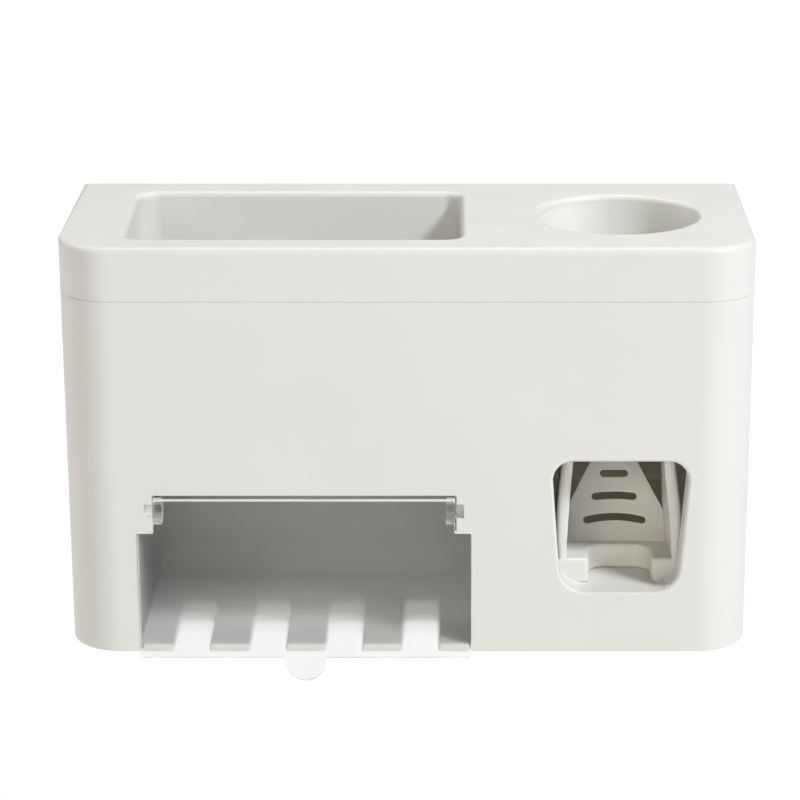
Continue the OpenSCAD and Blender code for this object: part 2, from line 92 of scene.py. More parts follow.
def rounded(h0, h1, r0, r1, n=5):
    """Profile from height h0 to h1 with both edges rounded off."""
    out = []
    if r0 > 0:
        out += [(-r0 * (1 - math.sin(t)), h0 + r0 * (1 - math.cos(t))) for t in np.linspace(0, math.pi / 2, n + 1)]
    else:
        out += [(0.0, h0)]
    if r1 > 0:
        out += [(-r1 * (1 - math.cos(t)), h1 - r1 * (1 - math.sin(t))) for t in np.linspace(0, math.pi / 2, n + 1)]
    else:
        out += [(0.0, h1)]
    return out


def flared(h0, h1, r, n=6, up=True, beyond=3.0):
    """Profile of a cutter that leaves a rounded edge of radius r where it comes out at h1 (up) or at h0."""
    arc = [(r * (1 - math.cos(t)), r * math.sin(t)) for t in np.linspace(0, math.pi / 2, n + 1)]
    arc[-1] = (arc[-1][0], arc[-1][1] + 0.002)
    if up:
        return [(0.0, h0)] + [(o, h1 - r + h) for o, h in arc] + [(r, h1 + beyond)]
    return [(r, h0 - beyond)] + [(o, h0 + r - h) for o, h in reversed(arc)] + [(0.0, h1)]


def solid(out, profile, axis="z"):
    """Closed mesh object from an outline swept along a profile of (offset, height)."""
    pts, nor = out
    m = len(pts)
    verts = []
    for off, h in profile:
        for a, b in pts + nor * off:
            verts.append({"z": (a, b, h), "y": (a, h, b), "x": (h, a, b)}[axis])
    faces = []
    for k in range(len(profile) - 1):
        for i in range(m):
            j = (i + 1) % m
            faces.append((k * m + i, k * m + j, (k + 1) * m + j, (k + 1) * m + i))
    for k in (0, len(profile) - 1):
        flat = [Vector((float(a), float(b), 0)) for a, b in pts + nor * profile[k][0]]
        faces += [tuple(k * m + i for i in t) for t in tessellate_polygon([flat])]
    return mesh_object(verts, faces)


def mesh_object(verts, faces, name="piece"):
    me = bpy.data.meshes.new(name)
    me.from_pydata([tuple(map(float, v)) for v in verts], [], faces)
    bm = bmesh.new()
    bm.from_mesh(me)
    bmesh.ops.remove_doubles(bm, verts=bm.verts, dist=1e-5)
    bmesh.ops.recalc_face_normals(bm, faces=bm.faces)
    bm.to_mesh(me)
    bm.free()
    o = bpy.data.objects.new(name, me)
    bpy.context.scene.collection.objects.link(o)
    return o


def rbox(x0, y0, z0, x1, y1, z1, r=0.3):
    return solid(rect(x0, y0, x1, y1, r), rounded(z0, z1, r, r, 2))


def lathe(x, y, profile, n=96):
    """Closed turned solid about an upright axis from a closed profile of (radius, height)."""
    verts, faces = [], []
    ring = []
    for r, z in profile:
        if r < 1e-6:
            ring.append([len(verts)] * n)
            verts.append((x, y, z))
        else:
            ring.append(list(range(len(verts), len(verts) + n)))
            verts += [(x + r * math.cos(2 * math.pi * i / n), y + r * math.sin(2 * math.pi * i / n), z) for i in range(n)]
    k = len(profile)
    for a in range(k):
        p, q = ring[a], ring[(a + 1) % k]
        for i in range(n):
            j = (i + 1) % n
            f = [v for t, v in enumerate([p[i], p[j], q[j], q[i]]) if v not in [p[i], p[j], q[j], q[i]][:t]]
            if len(f) > 2:
                faces.append(tuple(f))
    return mesh_object(verts, faces)


def csg(base, *steps):
    """base with each (operation, solid) applied in order; the tools are used up."""
    for kind, tool in steps:
        m = base.modifiers.new("step", "BOOLEAN")
        m.operation, m.object, m.solver = kind, tool, "MANIFOLD"
        dg = bpy.context.evaluated_depsgraph_get()
        made = bpy.data.meshes.new_from_object(base.evaluated_get(dg))
        base.modifiers.clear()
        base.data = made
        bpy.data.objects.remove(tool)
    return base


def plus(o):
    return ("UNION", o)


def minus(o):
    return ("DIFFERENCE", o)


def both(o):
    return ("INTERSECT", o)


def done(o, name, body, material, stands_for=(), angle=32.0):
    """Names a finished piece, moves it into the frame, shades it and ties it to its body."""
    o.name = name
    o.data.name = name
    bm = bmesh.new()
    bm.from_mesh(o.data)
    bmesh.ops.remove_doubles(bm, verts=bm.verts, dist=2e-4)
    bmesh.ops.dissolve_degenerate(bm, edges=bm.edges, dist=2e-4)
    bm.to_mesh(o.data)
    bm.free()
    o.data.transform(PLACE)
    o.data.materials.clear()
    o.data.materials.append(material)
    for p in o.data.polygons:
        p.use_smooth = True
        p.material_index = 0
    o.data.set_sharp_from_angle(angle=math.radians(angle))
    w = o.modifiers.new("normals", "WEIGHTED_NORMAL")
    w.mode, w.weight, w.keep_sharp = "FACE_AREA", 80, True
    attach(o, body)
    if stands_for:
        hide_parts(*stands_for)
    return o


# ------------------------------------------------------------------ materials

def new_material(name):
    m = bpy.data.materials.new(name)
    m.use_nodes = True
    t = m.node_tree
    b = t.nodes["Principled BSDF"]
    return m, t, b


def socket(node, *names):
    for n in names:
        if n in node.inputs:
            return node.inputs[n]
    raise KeyError(names)


def noise(t, scale, detail=4.0, rough=0.55, coords=None):
    n = t.nodes.new("ShaderNodeTexNoise")
    n.inputs["Scale"].default_value = scale
    n.inputs["Detail"].default_value = detail
    n.inputs["Roughness"].default_value = rough
    if coords is None:
        coords = t.nodes.new("ShaderNodeTexCoord").outputs["Object"]
    t.links.new(coords, n.inputs["Vector"])
    return n


def spread(t, value, lo, hi, a=0.3, b=0.7):
    """value mapped from a..b to lo..hi."""
    r = t.nodes.new("ShaderNodeMapRange")
    r.inputs["From Min"].default_value, r.inputs["From Max"].default_value = a, b
    r.inputs["To Min"].default_value, r.inputs["To Max"].default_value = lo, hi
    t.links.new(value, r.inputs["Value"])
    return r.outputs["Result"]


def tinted(t, value, dark, light):
    r = t.nodes.new("ShaderNodeValToRGB")
    r.color_ramp.elements[0].position, r.color_ramp.elements[1].position = 0.3, 0.7
    r.color_ramp.elements[0].color = (*dark, 1)
    r.color_ramp.elements[1].color = (*light, 1)
    t.links.new(value, r.inputs["Fac"])
    return r.outputs["Color"]


def bumped(t, b, value, strength, distance):
    n = t.nodes.new("ShaderNodeBump")
    n.inputs["Strength"].default_value = strength
    n.inputs["Distance"].default_value = distance
    t.links.new(value, n.inputs["Height"])
    t.links.new(n.outputs["Normal"], b.inputs["Normal"])
    return n


def plastic(name, colour, rough=(0.42, 0.50), grain=3200.0, bump=0.05, coat=0.0, vary=0.012, subsurface=0.0, depth=None):
    """Moulded plastic: faint cloudy colour, uneven gloss and a fine moulded skin.

    depth is a list of (mm from the front, share of the colour) that tones it from front to back: painted light and
    shade by depth."""
    m, t, b = new_material(name)
    cloud = noise(t, 26.0, 3.0)
    dark = tuple(c * (1 - vary) for c in colour)
    light = tuple(min(1.0, c * (1 + vary)) for c in colour)
    shade = tinted(t, cloud.outputs["Fac"], dark, light)
    if depth:
        y0, y1 = depth[0][0], depth[-1][0]
        apart = t.nodes.new("ShaderNodeSeparateXYZ")
        t.links.new(t.nodes.new("ShaderNodeTexCoord").outputs["Object"], apart.inputs[0])
        scale = t.nodes.new("ShaderNodeVectorMath")
        scale.operation = "SCALE"
        t.links.new(shade, scale.inputs[0])
        tone = t.nodes.new("ShaderNodeValToRGB")
        ramp = tone.color_ramp.elements
        while len(ramp) < len(depth):
            ramp.new(0.5)
        for e, (y, share) in zip(ramp, depth):
            e.position = (y - y0) / (y1 - y0)
            e.color = (share, share, share, 1)
        t.links.new(spread(t, apart.outputs["Y"], 0.0, 1.0, y0 / 1000 - 0.096, y1 / 1000 - 0.096), tone.inputs["Fac"])
        t.links.new(tone.outputs["Color"], scale.inputs["Scale"])
        shade = scale.outputs["Vector"]
    t.links.new(shade, b.inputs["Base Color"])
    patch = noise(t, 60.0, 5.0)
    t.links.new(spread(t, patch.outputs["Fac"], rough[0], rough[1]), b.inputs["Roughness"])
    skin = noise(t, grain, 2.0, 0.6)
    wave = noise(t, 90.0, 2.0, 0.4)
    mix = t.nodes.new("ShaderNodeMath")
    mix.operation = "MULTIPLY_ADD"
    mix.inputs[1].default_value = 0.25
    t.links.new(skin.outputs["Fac"], mix.inputs[0])
    t.links.new(wave.outputs["Fac"], mix.inputs[2])
    bumped(t, b, mix.outputs["Value"], bump, 0.0002)
    b.inputs["IOR"].default_value = 1.5
    if coat:
        b.inputs["Coat Weight"].default_value = coat
        b.inputs["Coat Roughness"].default_value = 0.12
    if subsurface:
        b.inputs["Subsurface Weight"].default_value = subsurface
        b.inputs["Subsurface Radius"].default_value = (1.0, 0.9, 0.75)
        b.inputs["Subsurface Scale"].default_value = 0.0012
    return m


WHITE = (0.745, 0.75, 0.725)
white = plastic("white_plastic", WHITE)
rear_white_painted_glow = plastic("rear_plastic", (0.74, 0.74, 0.71), rough=(0.45, 0.55), bump=0.10)
# painted glow: the rear plastic emits a faint warm light that stands in for daylight coming through the thin rear panel
# into the body; the wall bracket uses it too
rear_glow_node = rear_white_painted_glow.node_tree.nodes["Principled BSDF"]
rear_glow_node.inputs["Emission Color"].default_value = (1.0, 0.82, 0.54, 1)
rear_glow_node.inputs["Emission Strength"].default_value = 0.036
# painted shade: the chamber plastic is toned by depth from the front, darker just behind the lip and towards the back,
# standing in for how light falls through the cover
chamber_white_painted_shade = plastic("chamber_plastic", (0.80, 0.806, 0.784), depth=[(0, 1.0), (3, 0.76), (15, 0.76), (26, 1.02), (40, 1.0), (57, 0.84), (66, 0.64), (70, 0.58)])
# painted shade: a much darker plastic for the chamber's left wall, toned by depth
chamber_wall_painted_shade = plastic("chamber_side_painted_shade", (0.35, 0.352, 0.344), depth=[(0, 1.5), (3, 1.2), (12, 0.85), (70, 0.7)])
# painted light and shade: the pusher plastic is toned by depth from the front, a little darker about 26-28 mm back and
# lighter past 35 mm, up the tongue, standing in for light through the opening
pusher_white_painted_light_and_shade = plastic("pusher_plastic", (0.80, 0.785, 0.745), rough=(0.30, 0.40),
                       depth=[(8, 0.98), (20, 0.98), (24, 1.05), (26.5, 0.96), (28, 0.90), (32, 1.0), (35.6, 1.13), (38.5, 1.18)])
natural = plastic("pump_plastic", (0.72, 0.72, 0.69), rough=(0.28, 0.36), vary=0.02)
dark = plastic("frame_plastic", (0.42, 0.38, 0.31), rough=(0.5, 0.6), bump=0.12, vary=0.06)


def silicone_material(name, colour, through):
    m, t, b = new_material(name)
    cloud = noise(t, 120.0, 4.0)
    t.links.new(tinted(t, cloud.outputs["Fac"], tuple(c * 0.93 for c in colour), colour), b.inputs["Base Color"])
    dust = noise(t, 900.0, 3.0)
    t.links.new(spread(t, dust.outputs["Fac"], 0.42, 0.6), b.inputs["Roughness"])
    bumped(t, b, dust.outputs["Fac"], 0.08, 0.0002)
    b.inputs["Subsurface Weight"].default_value = through
    b.inputs["Subsurface Radius"].default_value = (1.0, 0.9, 0.8)
    b.inputs["Subsurface Scale"].default_value = 0.0015
    b.inputs["IOR"].default_value = 1.41
    return m


silicone = silicone_material("silicone", (0.62, 0.66, 0.66), 0.5)
valve = silicone_material("valve_silicone", (0.62, 0.24, 0.15), 0.3)


def steel_material(name, colour, rough, along=(1, 1, 1), lines=900.0):
    m, t, b = new_material(name)
    c = t.nodes.new("ShaderNodeTexCoord")
    mp = t.nodes.new("ShaderNodeMapping")
    mp.inputs["Scale"].default_value = along
    t.links.new(c.outputs["Object"], mp.inputs["Vector"])
    draw = noise(t, lines, 3.0, 0.6, mp.outputs["Vector"])
    t.links.new(tinted(t, draw.outputs["Fac"], tuple(x * 0.82 for x in colour), colour), b.inputs["Base Color"])
    t.links.new(spread(t, draw.outputs["Fac"], rough * 0.8, rough * 1.3), b.inputs["Roughness"])
    bumped(t, b, draw.outputs["Fac"], 0.06, 0.0001)
    b.inputs["Metallic"].default_value = 1.0
    return m


spring_steel = steel_material("spring_steel", (0.56, 0.57, 0.59), 0.26, (1, 1, 4))
pin_steel = steel_material("pin_steel", (0.60, 0.61, 0.63), 0.2, (0.1, 1, 1))
screw_steel = steel_material("screw_steel", (0.52, 0.53, 0.55), 0.34)


def foam_material():
    m, t, b = new_material("adhesive_foam")
    cells = t.nodes.new("ShaderNodeTexVoronoi")
    cells.inputs["Scale"].default_value = 1400.0
    t.links.new(t.nodes.new("ShaderNodeTexCoord").outputs["Object"], cells.inputs["Vector"])
    t.links.new(tinted(t, cells.outputs["Distance"], (0.74, 0.74, 0.70), (0.84, 0.84, 0.80)), b.inputs["Base Color"])
    bumped(t, b, cells.outputs["Distance"], 0.35, 0.0002)
    b.inputs["Roughness"].default_value = 0.85
    return m


foam = foam_material()


def clear_material(name="clear_plastic", low=(0.79, 0.812, 0.805), high=(0.81, 0.832, 0.825), rough=(0.13, 0.16), through=1.0, alpha=0.76, foot_rough=0.0):
    """Lightly frosted clear plastic: blurred refraction with a little straight-through light.

    foot_rough is how much rougher it gets towards its lower edge."""
    m, t, b = new_material(name)
    haze = noise(t, 45.0, 4.0)
    t.links.new(tinted(t, haze.outputs["Fac"], low, high), b.inputs["Base Color"])
    frost = spread(t, haze.outputs["Fac"], rough[0], rough[1])
    if foot_rough:
        apart = t.nodes.new("ShaderNodeSeparateXYZ")
        t.links.new(t.nodes.new("ShaderNodeTexCoord").outputs["Object"], apart.inputs[0])
        low_down = spread(t, apart.outputs["Z"], foot_rough, 0.0, (3 - 75) / 1000, (13 - 75) / 1000)
        total = t.nodes.new("ShaderNodeMath")
        t.links.new(frost, total.inputs[0])
        t.links.new(low_down, total.inputs[1])
        frost = total.outputs["Value"]
    t.links.new(frost, b.inputs["Roughness"])
    fine = noise(t, 2600.0, 2.0)
    bumped(t, b, fine.outputs["Fac"], 0.04, 0.0002)
    b.inputs["Transmission Weight"].default_value = through
    b.inputs["IOR"].default_value = 1.47
    b.inputs["Alpha"].default_value = alpha
    return m


clear = clear_material(foot_rough=0.10)
# partly painted highlight: a rougher, whiter, less clear copy of the clear plastic for the plate's narrow faces
clear_frosted_edge_and_highlight = clear_material("clear_plastic_frosted_edge_and_highlight", (0.93, 0.94, 0.93), (0.96, 0.97, 0.96), (0.35, 0.45), 0.3, 0.9)


# ------------------------------------------------------------------ body shells

BAY_X, WELL_X, WELL_Y = 71.0, 71.0, 48.3
H = 140.3
SEAM = 122.4


def foot(off=0.0, yb=95.0, back_r=2.2):
    """Footprint of the body, moved in by off; it widens a little to the back."""
    r = 18.0 - off
    left = lambda y: -114.7 - 0.011 * y + off
    right = lambda y: 115.0 + 0.0085 * y - off
    return outline([(left(off), off, r), (right(off), off, r), (right(yb), yb, back_r), (left(yb), yb, back_r)], 3.0)


def bay_outline():
    """The opening's outline: slanted sides that join four round corners."""
    top = [(BAY_X + s * 16.05, 60.93, 6.5) for s in (1, -1)]
    low = [(BAY_X + s * 11.2, 30.25, 9.0) for s in (-1, 1)]
    ring = [low[0], low[1], top[0], top[1]]
    pts, nor = [], []
    n = 4
    for i in range(n):
        (ax, ay, ar), (px, py, pr), (bx, by, br) = ring[i - 1], ring[i], ring[(i + 1) % n]

        def side(x0, y0, r0, x1, y1, r1):
            d = np.array([x1 - x0, y1 - y0])
            length = np.linalg.norm(d)
            u = d / length
            out = np.array([u[1], -u[0]])
            s = (r0 - r1) / length
            return out * math.sqrt(1 - s * s) + u * s

        n0, n1 = side(ax, ay, ar, px, py, pr), side(px, py, pr, bx, by, br)
        a0, a1 = math.atan2(n0[1], n0[0]), math.atan2(n1[1], n1[0])
        while a1 < a0:
            a1 += 2 * math.pi
        k = 17
        for j in range(k):
            a = a0 + (a1 - a0) * j / (k - 1)
            m = np.array([math.cos(a), math.sin(a)])
            pts.append(np.array([px, py]) + m * pr)
            nor.append(m)
    return np.array(pts), np.array(nor)


def make_housing():
    body = solid(foot(), rounded(-0.25, SEAM - 0.04, 0.6, 0.12, 6))
    hollow = solid(outline([(-112.5, 2.5, 15.5), (112.5, 2.5, 15.5), (112.5, 130, 1), (-112.5, 130, 1)], 3.0),
                   [(-1.2 * (1 - math.sin(t)), 2.6 + 1.2 * (1 - math.cos(t))) for t in np.linspace(0, math.pi / 2, 5)] + [(0, 200)])
    steps = [minus(hollow)]
    # bearing blocks for the cover's pins, shelf with two ribs, bosses
    steps += [plus(rbox(-89.9, 2.2, 46.3, -85.2, 6.0, 54.0, 0.3)), plus(rbox(16.3, 2.2, 46.3, 20.9, 6.0, 54.0, 0.3))]
    steps += [plus(rbox(BAY_X - 24, 2.2, 18.7, BAY_X + 24, 33.8, 21.24, 0.5))]
    # collar behind the dispenser's opening, open at the top
    collar = solid(bay_outline(), [(1.8, 2.2), (1.8, 9.6), (1.7, 9.82), (1.5, 9.9)], "y")
    steps += [plus(csg(collar, both(rbox(BAY_X - 40, 0, 10, BAY_X + 40, 20, 63, 0.3))))]
    for x in (51.0, 89.0):
        steps.append(plus(solid(outline([(2.2, 6, 0.4), (30, 19, 0.2), (2.2, 19, 0.2)]), rounded(x, x + 2, 0.2, 0.2, 2), "x")))
    for x in (41.5, 100.5):
        for z in (70, 91):
            steps.append(plus(solid(circle(x, z, 3, 40), rounded(2.2, 6.0, 0, 0.25, 2), "y")))
    for x in (-75, -34.5, 6):
        steps.append(plus(solid(circle(x, 66, 3, 40), rounded(2.3, 5.8, 0, 0.25, 2), "y")))
    for s in (-1, 1):
        for z in (14, 62, 108):
            steps.append(plus(solid(circle(s * 108.3, z, 4, 48), rounded(72, 88.9, 0.3, 0.3, 2), "y")))
            steps.append(plus(rbox(s * 110.6 - 2.25, 72.2, z - 2, s * 110.6 + 2.25, 88.7, z + 2, 0.2)))
    # openings
    steps.append(minus(solid(bay_outline(), flared(0, 10.1, 1.1, 7, up=False), "y")))
    cover = outline([(-90.2, -3, 0.4), (21.3, -3, 0.4), (21.3, 42.4, 0.5), (16.3, 42.4, 0.5), (16.3, 55.6, 0.8),
                     (-85.2, 55.6, 0.8), (-85.2, 42.4, 0.5), (-90.2, 42.4, 0.5)], 15)
    steps.append(minus(solid(cover, flared(0, 2.53, 0.35, 4, up=False), "y")))
    steps.append(minus(rbox(-92.5, 2.49, -1, 23.6, 70.6, 4.6, 0.3)))
    for x0, x1 in ((-87.9, -85.19), (16.29, 18.9)):
        seat = outline([(0.9, 47.7, 0.1), (0.9 + 2.449, 47.7, 2.445), (0.9 + 2.449, 52.6, 2.445), (0.9, 52.6, 0.1), (-3, 52.6, 0.1), (-3, 47.7, 0.1)], 7.5)
        steps.append(minus(solid(seat, [(0, x0), (0, x1)], "x")))
    for x in (41.5, 100.5):
        for z in (70, 91):
            steps.append(minus(solid(circle(x, z, 1.45, 32), [(0, 3.5), (0, 8)], "y")))
    for x in (-75, -34.5, 6):
        steps.append(minus(solid(circle(x, 66, 1.45, 32), [(0, 1.7), (0, 8)], "y")))
    for s in (-1, 1):
        for z in (14, 62, 108):
            steps.append(minus(solid(circle(s * 108.3, z, 1.45, 32), [(0, 77), (0, 100)], "y")))
    return csg(body, *steps)


def make_tray():
    z0 = SEAM + 0.04
    body = solid(foot(), rounded(z0, H, 0.12, 2.2, 8))
    # the top edge gets sharper at the left corner, along the left side and towards the wall
    for v in body.data.vertices:
        x, y, z = v.co
        if z < H - 2.25:
            continue
        if y > 92.7:
            v.co.y, v.co.z = 95 - 0.3 * (95 - y), H - 0.3 * (H - z)
        elif x < -96.7 and y < 18.1:
            cx, cy = -114.7 - 0.011 * 18 + 18, 18.0
            r = math.hypot(x - cx, y - cy)
            turn = math.atan2(cx - x, cy - y) / (math.pi / 2)
            keep = 1 - 0.65 * min(1.0, max(0.0, turn))
            new = 18 - keep * (18 - r)
            v.co.x, v.co.y, v.co.z = cx + (x - cx) * new / r, cy + (y - cy) * new / r, H - keep * (H - z)
    under = solid(foot(2.5, 92.5, 1.0), [(0, z0 - 1), (0, 136.6), (-0.35, 137.45), (-1.2, 137.8)])
    steps = [minus(under)]
    # register lip, open at the wall side
    lip = solid(foot(2.4, 86, 0.5), [(-0.4, SEAM - 3.0), (-0.4, z0 + 0.4), (0, z0 + 0.4), (0, z0 + 3.9)])
    steps_lip = [minus(solid(foot(4.0, 100, 1.0), [(0, SEAM - 4), (0, z0 + 8)]))]
    csg(lip, *steps_lip)
    steps.append(plus(lip))
    pocket = outline([(-93.1, 13.7, 6), (18, 13.7, 6), (18, 80.5, 6), (-94.5, 80.5, 7.5)], 5.0)
    shell = outline([(-95.1, 11.7, 8), (20, 11.7, 8), (20, 82.5, 8), (-96.5, 82.5, 9)], 6.0)
    steps.append(plus(solid(shell, rounded(65.1, 139, 3, 0, 6))))
    steps.append(plus(solid(circle(WELL_X, WELL_Y, 29.6, 128), rounded(106, 139, 1.0, 0, 4))))
    floor = [(-3 * (1 - math.sin(t)), 67.3 + 3 * (1 - math.cos(t))) for t in np.linspace(0, math.pi / 2, 8)]
    steps.append(minus(solid(pocket, floor + flared(0, H, 1.9, 8)[1:])))
    steps.append(minus(solid(circle(WELL_X, WELL_Y, 27.4, 128), [(0, 114.5)] + flared(0, H, 1.9, 9)[1:])))
    steps.append(minus(solid(circle(WELL_X, WELL_Y, 25.9, 128), [(0, 108), (0, 120)])))
    steps.append(minus(solid(circle(WELL_X, WELL_Y, 17.5, 96), [(0, 104), (0, 109)])))
    return csg(body, *steps)


housing = done(make_housing(), "housing_shell", "unit", white, ["main_housing"])
# painted light: the collar's right wall gets a paler copy of the white plastic, standing in for light that gathers in
# the opening
housing.data.materials.append(plastic("collar_painted_light", (0.89, 0.885, 0.86)))
for p in housing.data.polygons:
    x, y, z = p.center.x * 1000 - BAY_X, (p.center.y + 0.096) * 1000, (p.center.z + 0.075) * 1000
    if p.normal.x < -0.5 and 14 < x < 26 and 0.2 < y < 9.85 and 21 < z < 68:
        p.material_index = 1
tray = done(make_tray(), "tray_shell", "tray", white, ["top_tray"])


def well_painted_light_material():
    """The white plastic with painted light: a little lighter on the left side of the well, where light gathers."""
    m = plastic("well_plastic_painted_light", WHITE)
    t = m.node_tree
    b = t.nodes["Principled BSDF"]
    colour = b.inputs["Base Color"].links[0].from_socket
    apart = t.nodes.new("ShaderNodeSeparateXYZ")
    t.links.new(t.nodes.new("ShaderNodeTexCoord").outputs["Object"], apart.inputs[0])
    across = spread(t, apart.outputs["X"], 1.0, 0.0, (WELL_X - 16) / 1000, (WELL_X - 1) / 1000)
    down = spread(t, apart.outputs["Z"], 1.0, 0.0, (H - 78.5) / 1000, (H - 75.2) / 1000)
    painted_light_amount = t.nodes.new("ShaderNodeMath")
    painted_light_amount.operation = "MULTIPLY"
    t.links.new(across, painted_light_amount.inputs[0])
    t.links.new(down, painted_light_amount.inputs[1])
    share = t.nodes.new("ShaderNodeMath")
    share.operation = "MULTIPLY_ADD"
    t.links.new(painted_light_amount.outputs["Value"], share.inputs[0])
    share.inputs[1].default_value, share.inputs[2].default_value = 0.19, 1.0
    scale = t.nodes.new("ShaderNodeVectorMath")
    scale.operation = "SCALE"
    t.links.new(colour, scale.inputs[0])
    t.links.new(share.outputs["Value"], scale.inputs["Scale"])
    t.links.new(scale.outputs["Vector"], b.inputs["Base Color"])
    return m


tray.data.materials.append(well_painted_light_material())
for p in tray.data.polygons:
    if math.hypot(p.center.x - WELL_X / 1000, p.center.y + 0.096 - WELL_Y / 1000) < 0.02935 and p.center.z > (H - 105) / 1000:
        p.material_index = 1


# ------------------------------------------------------------------ brush chamber and flip cover

SLOT_X = [-34.4 + (i - 1.5) * 25.8 for i in range(4)]


def make_chamber():
    w, depth = 6.05, 27.2
    c = [(-89.6, 0, 0.6)]
    for x in SLOT_X:
        c += [(x - w, 0, 0.7), (x - w, depth, 3.0), (x + w, depth, 3.0), (x + w, 0, 0.7)]
    c += [(20.7, 0, 0.6), (20.7, 2.8, 0.2), (23.3, 2.8, 0.2), (23.3, 70, 0.4), (-92.2, 70, 0.4), (-92.2, 2.8, 0.2), (-89.6, 2.8, 0.2)]
    comb = solid(outline(c, 7.5), rounded(0, 2.6, 0.5, 0.7, 4))
    steps = [plus(rbox(-92.2, 2.8, 0.02, -90.4, 70, 60, 0.25)), plus(rbox(21.5, 2.8, 0.02, 23.3, 70, 60, 0.25)),
             plus(rbox(-92.2, 68.2, 0.02, 23.3, 70, 60, 0.25)), plus(rbox(-92.2, 5.8, 58.2, 23.3, 70, 60, 0.25)),
             plus(rbox(-84, 5.8, 58.3, 15, 7.8, 70, 0.4))]
    for x in (-75, -34.5, 6):
        steps.append(minus(solid(circle(x, 66, 1.6, 32), [(0, 5), (0, 9)], "y")))
    return csg(comb, *steps)


def make_cover():
    front, back = -2.05, -0.25
    plate = outline([(-90.6, -1.9, 1.2), (21.6, -1.9, 1.2), (21.6, 43.3, 0.8), (15.9, 43.3, 0.5), (15.9, 54.7, 0.6),
                     (-84.8, 54.7, 0.6), (-84.8, 43.3, 0.5), (-90.6, 43.3, 0.8)], 11.25)
    body = solid(plate, rounded(front, back, 0.5, 0.25, 5), "y")
    steps = [plus(solid(circle(-34.6, -3.15, 6.95, 72), rounded(front, back, 0.4, 0.25, 4), "y"))]
    for x0 in (-84.8, 12.9):
        steps.append(plus(solid(circle(0.9, 50.15, 4.5, 64), rounded(x0, x0 + 3, 0.3, 0.3, 3), "x")))
    steps.append(plus(solid(circle(0.9, 50.15, 2.4, 48), rounded(-87.6, -84.0, 0.35, 0, 3), "x")))
    steps.append(plus(solid(circle(0.9, 50.15, 2.4, 48), rounded(15.1, 18.6, 0, 0.35, 3), "x")))
    steps.append(both(rbox(-120, front, -40, 80, 60, 100, 0.0001)))
    return csg(body, *steps)


chamber = done(make_chamber(), "chamber_comb", "unit", chamber_white_painted_shade, ["brush_chamber"])
# painted shade: the chamber's left wall gets a much darker copy of its plastic, itself toned by depth, standing in for
# shade from the side light
chamber.data.materials.append(chamber_wall_painted_shade)
# painted shade: the front-facing end walls of the slots get a darker copy of the chamber plastic
chamber.data.materials.append(plastic("slot_end_painted_shade", (0.66, 0.664, 0.646)))
for p in chamber.data.polygons:
    if p.normal.x > 0.7 and p.center.x < -0.0899 and p.center.y + 0.096 > 0.0027:
        p.material_index = 1
    elif p.normal.y < -0.3 and 0.0235 < p.center.y + 0.096 < 0.0275:
        p.material_index = 2
cover = done(make_cover(), "cover_panel", "cover", clear, ["flip_cover"])
# thin clear plastic casts next to no shadow
cover.visible_shadow = False
cover.visible_diffuse = False
# the narrow faces round the plate get a rougher, whiter and less clear copy of the plastic: partly real frosting,
# partly a painted highlight along the edges
cover.data.materials.append(clear_frosted_edge_and_highlight)
# painted highlight: the hinge lugs get a whiter, less clear copy of the plastic that stands in for glints on them
cover.data.materials.append(clear_material("clear_plastic_lug_painted_glint", (0.93, 0.94, 0.93), (0.96, 0.97, 0.96), (0.30, 0.40), 0.65, 0.85))
for p in cover.data.polygons:
    y = (p.center.y + 0.096) * 1000
    x, z = p.center.x * 1000, p.center.z * 1000 + 75
    pin = (x < -84.85 or x > 15.95) and 47.6 < z < 52.7
    if y < 0.2 and not pin and abs(p.normal.y) < (0.97 if p.normal.z > 0.2 else 0.75):
        p.material_index = 1
    if y > -2.0 and abs(p.normal.y) < 0.97 and (-84.9 < x < -81.7 or 12.8 < x < 16.0) and math.hypot(y - 0.9, z - 50.15) < 4.55:
        p.material_index = 2


# ------------------------------------------------------------------ pusher

HYP = math.sqrt(1.25)

# distance of each cheek's inner face from the middle, by height
CHEEK_Z = [21.6, 30, 40, 52, 65, 72, 82]
CHEEK_IN = {1: [18.6, 18.3, 17.8, 16.35, 14.85, 14.4, 13.6], -1: [17.8, 17.5, 17.0, 16.35, 15.4, 14.7, 13.7]}
# how much wider than 3.2 mm it is
MORE_Z = [21.6, 30, 38, 46, 56, 65, 72, 82]
MORE = {1: [0, 0, 0.9, 1.3, 0.9, 0.6, 0, 0], -1: [0, 0, 0.9, 1.0, 0.8, 0.5, 0, 0]}


def tongue_y(z):
    return 27 + 0.5 * (z - 29.7)


def make_cheek(s):
    side = outline([(10.02, 23.6, 0.6), (28, 23.6, 0.6), (28, 27.7, 1.0), (34.15, 42, 4), (25, 60, 8), (12.0, 74.0, 1.0),
                    (12.0, 78, 3.9), (4.0, 78, 3.9), (4.0, 73.6, 2.0), (8.4, 67, 5), (10.02, 60, 5)], 7.5)
    o = solid(side, rounded(0, 3.2, 0.45, 2.1, 8), "x")
    bm = bmesh.new()
    bm.from_mesh(o.data)
    for z in range(27, 78, 3):
        bmesh.ops.bisect_plane(bm, geom=bm.verts[:] + bm.edges[:] + bm.faces[:], plane_co=(0, 0, z), plane_no=(0, 0, 1))
    bm.to_mesh(o.data)
    bm.free()
    for v in o.data.vertices:
        inner = float(np.interp(v.co.z, CHEEK_Z, CHEEK_IN[s]))
        wide = 1 + float(np.interp(v.co.z, MORE_Z, MORE[s])) / 3.2
        open_out = float(np.interp(v.co.z, [30, 55], [0.06, 0.025])) if s > 0 else 0.025
        v.co.x = BAY_X + s * (inner + v.co.x * wide - open_out * (v.co.y - 10))
    if s < 0:
        o.data.flip_normals()
    return o


